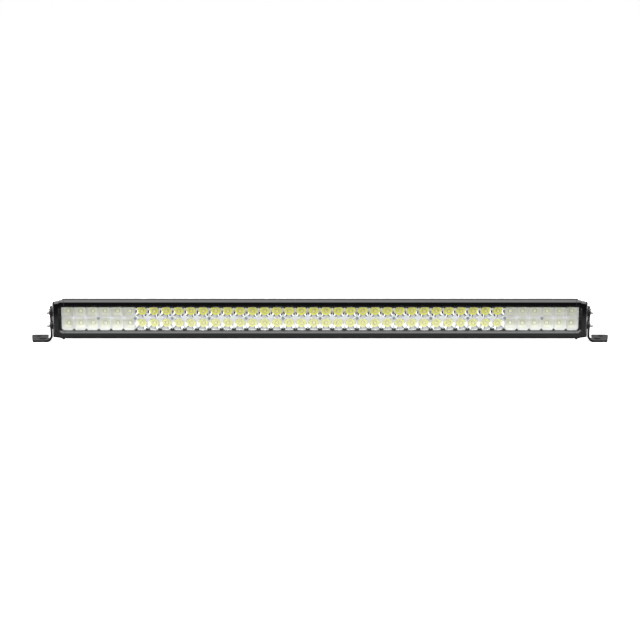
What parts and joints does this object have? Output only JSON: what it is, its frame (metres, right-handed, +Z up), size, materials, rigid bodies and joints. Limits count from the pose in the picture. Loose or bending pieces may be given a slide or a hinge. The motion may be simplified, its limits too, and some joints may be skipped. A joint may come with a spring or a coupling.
{
  "type": "led light bar",
  "caption": "Long LED light bar with rows of round reflector cups behind a clear lens, a finned aluminium body, end caps and tilting feet.",
  "frame": {"origin": "centre between the slots of the two feet, on the mounting plane under the feet", "axes": "+X along the bar, to the right of a viewer who faces the lit side; the lit side faces -Y; +Z up from the mounting plane"},
  "size_m": [1.146, 0.0787, 0.088],
  "materials": {
    "housing_black": "die-cast and extruded aluminium, fine black powder coat, satin",
    "bracket_black": "black powder coated steel",
    "stainless": "bright stainless steel",
    "screw_zinc": "zinc plated steel",
    "screw_black": "black oxide steel",
    "lens_clear": "clear polycarbonate, polished",
    "seal_black": "black silicone rubber",
    "plastic_black": "black nylon",
    "vent_membrane_white": "white breathable film",
    "reflector_chrome": "metallised plastic, bright",
    "reflector_frosted": "metallised plastic, finely stippled",
    "led_board_white": "white solder mask on an aluminium core board",
    "emitter_yellow": "yellow phosphor under clear resin",
    "pad_grey": "grey thermal pad",
    "driver_board_green": "green solder mask",
    "component_dark": "dark ferrite",
    "capacitor_can": "bare can",
    "jumper_white": "white insulation"
  },
  "bodies": {
    "left_bracket": {"bracket_left": "bracket_black"},
    "bar": {"board_jumpers": "jumper_white", "cable_gland_body": "plastic_black", "cable_gland_nut": "plastic_black", "cable_gland_seal": "seal_black", "clamp_bolt_left": "stainless", "clamp_bolt_right": "stainless", "driver_board_left": "driver_board_green", "driver_board_right": "driver_board_green", "driver_capacitors": "capacitor_can", "driver_inductors": "component_dark", "end_cap_gasket_left": "seal_black", "end_cap_gasket_right": "seal_black", "end_cap_left": "housing_black", "end_cap_right": "housing_black", "end_cap_screws_left": "screw_black", "end_cap_screws_right": "screw_black", "flat_washers_left": "stainless", "flat_washers_right": "stainless", "friction_washers_left": "plastic_black", "friction_washers_right": "plastic_black", "heat_sink_housing": "housing_black", "led_board_1": "led_board_white", "led_board_2": "led_board_white", "led_board_3": "led_board_white", "led_board_4": "led_board_white", "led_board_5": "led_board_white", "led_board_6": "led_board_white", "led_board_7": "led_board_white", "led_emitters_1": "emitter_yellow", "led_emitters_2": "emitter_yellow", "led_emitters_3": "emitter_yellow", "led_emitters_4": "emitter_yellow", "led_emitters_5": "emitter_yellow", "led_emitters_6": "emitter_yellow", "led_emitters_7": "emitter_yellow", "lens_cover": "lens_clear", "lens_gasket": "seal_black", "lens_retainer_lower": "plastic_black", "lens_retainer_upper": "plastic_black", "pivot_bolt_left": "stainless", "pivot_bolt_right": "stainless", "reflector_flood_left": "reflector_frosted", "reflector_flood_right": "reflector_frosted", "reflector_screws": "screw_zinc", "reflector_spot_1": "reflector_chrome", "reflector_spot_2": "reflector_chrome", "reflector_spot_3": "reflector_chrome", "reflector_spot_4": "reflector_chrome", "reflector_spot_5": "reflector_chrome", "spring_washers_left": "stainless", "spring_washers_right": "stainless", "test_port_screw_left": "screw_black", "test_port_screw_right": "screw_black", "thermal_pad": "pad_grey", "vent_body": "plastic_black", "vent_membrane": "vent_membrane_white"},
    "right_bracket": {"bracket_right": "bracket_black"}
  },
  "joints": [
    {"name": "bar_tilt", "type": "hinge", "parent": "left_bracket", "child": "bar", "pos_m": [0, -0.004, 0.033], "axis": [1, 0, 0], "range_deg": [-15, 15]},
    {"name": "right_foot_level", "type": "hinge", "parent": "bar", "child": "right_bracket", "pos_m": [0, -0.004, 0.033], "axis": [1, 0, 0], "range_deg": [-15, 15]}
  ],
  "couplings": [
    {"joint": "right_foot_level", "follows": "bar_tilt", "ratio": -1}
  ]
}
